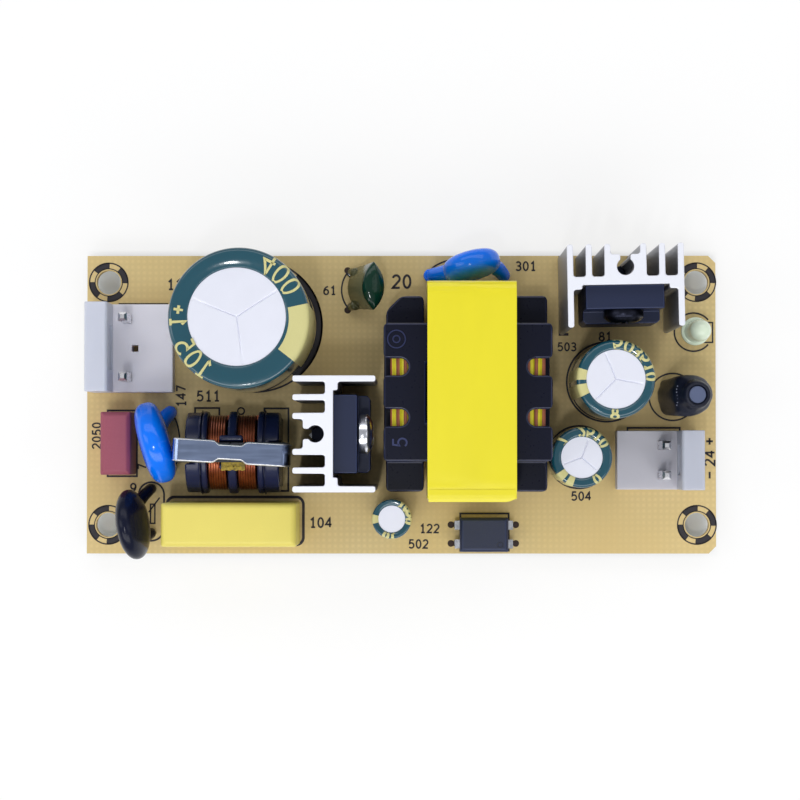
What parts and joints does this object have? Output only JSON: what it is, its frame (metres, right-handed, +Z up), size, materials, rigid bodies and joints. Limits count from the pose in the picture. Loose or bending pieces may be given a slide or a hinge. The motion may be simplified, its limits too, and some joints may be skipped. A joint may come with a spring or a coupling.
{
  "type": "open-frame power supply board",
  "caption": "Open-frame AC to DC power supply: a drilled board with mains header, fuse, choke, capacitors, transformer, finned heatsinks and output header.",
  "frame": {"origin": "centre of the four fixing holes, on the board's underside", "axes": "+X along the board from the mains header to the output header, +Y across the board, +Z up out of the component side"},
  "size_m": [0.0855, 0.0418, 0.0234],
  "materials": {
    "board": "paper-phenolic laminate, tan",
    "nylon": "natural nylon",
    "tinned_lead": "tinned",
    "solder": "bright solder",
    "fuse": "maroon moulded",
    "blue_dip": "blue epoxy dip",
    "black_dip": "black silicone dip",
    "green_dip": "green epoxy dip",
    "ferrite": "ferrite",
    "bobbin": "black phenolic",
    "copper": "enamelled copper wire",
    "clip_steel": "spring steel",
    "yellow_box": "pale yellow moulded case",
    "can": "drawn aluminium",
    "sleeve": "teal shrink sleeve",
    "heatsink": "extruded aluminium",
    "package": "moulded epoxy",
    "screw_steel": "zinc plated",
    "tape": "yellow polyester tape",
    "led_lens": "diffused green-white",
    "heatshrink": "black heat-shrink",
    "chip_ceramic": "glazed chip"
  },
  "bodies": {
    "root": {"circuit_board": "board", "solder_fillets": "solder", "input_header": "nylon", "output_header": "nylon", "header_pins": "tinned_lead", "fuse_body": "fuse", "fuse_leads": "tinned_lead", "varistor_disc": "blue_dip", "varistor_leads": "tinned_lead", "thermistor_disc": "black_dip", "thermistor_leads": "tinned_lead", "y_capacitor_disc": "blue_dip", "y_capacitor_leads": "tinned_lead", "choke_bobbin": "bobbin", "choke_core_left": "ferrite", "choke_core_right": "ferrite", "choke_winding_left": "copper", "choke_winding_right": "copper", "choke_clip": "clip_steel", "choke_pins": "tinned_lead", "x_capacitor_case": "yellow_box", "x_capacitor_leads": "tinned_lead", "main_capacitor_can": "can", "main_capacitor_sleeve": "sleeve", "output_capacitor_can": "can", "output_capacitor_sleeve": "sleeve", "second_capacitor_can": "can", "second_capacitor_sleeve": "sleeve", "supply_capacitor_can": "can", "supply_capacitor_sleeve": "sleeve", "electrolytic_leads": "tinned_lead", "film_capacitor_body": "green_dip", "film_capacitor_leads": "tinned_lead", "switch_heatsink": "heatsink", "rectifier_heatsink": "heatsink", "switch_transistor": "package", "rectifier_diode": "package", "switch_transistor_leads": "tinned_lead", "rectifier_diode_leads": "tinned_lead", "heatsink_screws": "screw_steel", "heatsink_pins": "tinned_lead", "transformer_bobbin": "bobbin", "transformer_core_top": "ferrite", "transformer_core_bottom": "ferrite", "transformer_winding": "copper", "transformer_wrap": "tape", "transformer_tape": "tape", "transformer_pins": "tinned_lead", "indicator_led": "led_lens", "indicator_led_leads": "tinned_lead", "inductor_core": "ferrite", "inductor_winding": "copper", "inductor_sleeve": "heatshrink", "inductor_leads": "tinned_lead", "optocoupler_body": "package", "optocoupler_leads": "tinned_lead", "bridge_rectifier": "package", "control_chip": "package", "chip_parts": "chip_ceramic"}
  },
  "joints": []
}
